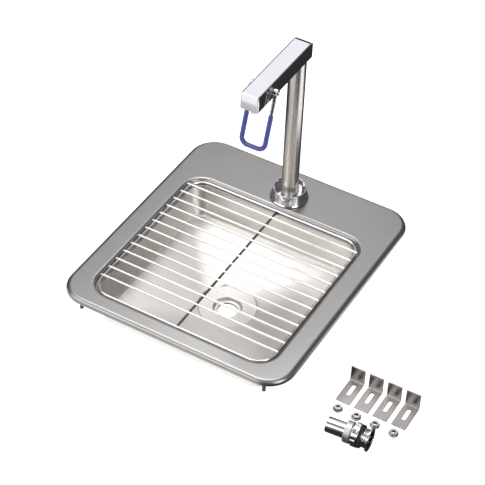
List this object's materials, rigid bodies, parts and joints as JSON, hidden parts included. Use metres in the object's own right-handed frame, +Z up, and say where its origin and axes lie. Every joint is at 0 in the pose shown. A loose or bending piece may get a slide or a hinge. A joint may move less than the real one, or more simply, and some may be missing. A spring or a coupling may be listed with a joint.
{
  "type": "drop-in hand sink",
  "caption": "Drop-in hand sink: drawn square bowl in a flat deck, wire grate on its ledge, pedestal glass filler with push-back lever, and loose mounting kit beside it.",
  "frame": {"origin": "centre of the deck's outline, on the worktop plane that its rolled edge rests on; it is also the centre of the four hold-down studs", "axes": "+X to the right seen from the user's side, +Y from the user towards the faucet, +Z up"},
  "size_m": [0.4436, 0.3586, 0.3264],
  "materials": {
    "satin_stainless": "satin",
    "bright_wire": "polished",
    "stud_steel": "zinc plated",
    "chrome": "mirror",
    "cover_chrome": "mirror",
    "brass": "machined",
    "copper": "drawn",
    "rubber": "matt",
    "steel": "drawn",
    "nozzle_plastic": "moulded",
    "vinyl": "dipped",
    "clip_steel": "rolled"
  },
  "bodies": {
    "sink": {"deck": "satin_stainless", "bowl": "satin_stainless", "stud_1": "stud_steel", "stud_2": "stud_steel", "stud_3": "stud_steel", "stud_4": "stud_steel", "collar_gasket": "rubber", "collar": "chrome", "shank": "brass", "under_gasket": "rubber", "shank_washer": "stud_steel", "shank_nut": "brass", "base_coupling": "chrome", "riser_tube": "satin_stainless", "riser_plug": "brass", "riser_screw": "stud_steel", "head_nut": "brass", "head_elbow": "brass", "head_shell": "chrome", "head_cover": "cover_chrome", "feed_tube": "copper", "valve_body": "brass", "valve_plug": "brass", "valve_spring": "steel", "stem_seal": "rubber", "nozzle_washer": "rubber", "nozzle": "nozzle_plastic", "bush_left": "brass", "bush_right": "brass", "clip_1": "clip_steel", "clip_2": "clip_steel", "clip_3": "clip_steel", "clip_4": "clip_steel", "clip_nut_1": "stud_steel", "clip_nut_2": "stud_steel", "clip_nut_3": "stud_steel", "clip_nut_4": "stud_steel", "clip_washer_1": "stud_steel", "clip_washer_2": "stud_steel", "clip_washer_3": "stud_steel", "clip_washer_4": "stud_steel", "drain_body": "chrome", "drain_gasket": "rubber", "drain_locknut": "chrome", "tailpiece_nut": "chrome", "drain_tailpiece": "satin_stainless"},
    "grate": {"grate_frame": "bright_wire", "grate_centre_rail": "bright_wire", "grate_cross_wires": "bright_wire"},
    "lever": {"pivot_shaft": "steel", "lever_cam": "brass", "lever_hub_left": "chrome", "lever_hub_right": "chrome", "lever_wire": "steel", "lever_coating": "vinyl"},
    "stem": {"valve_stem": "steel", "valve_washer": "rubber"}
  },
  "joints": [
    {"name": "grate_lift", "type": "slide", "parent": "sink", "child": "grate", "axis": [0, 0, 1], "range_m": [0, 0.1]},
    {"name": "lever_push", "type": "hinge", "parent": "sink", "child": "lever", "pos_m": [0, 0.043, 0.24], "axis": [1, 0, 0], "range_deg": [0, 18], "stiffness_Nm_per_rad": 0.8, "springref_deg": -14.32},
    {"name": "stem_push", "type": "slide", "parent": "sink", "child": "stem", "axis": [0, -1, 0], "range_m": [0, 0.0014], "deforming": ["valve_spring"]}
  ],
  "couplings": [
    {"joint": "stem_push", "follows": "lever_push", "m_per_rad": 0.0042}
  ]
}
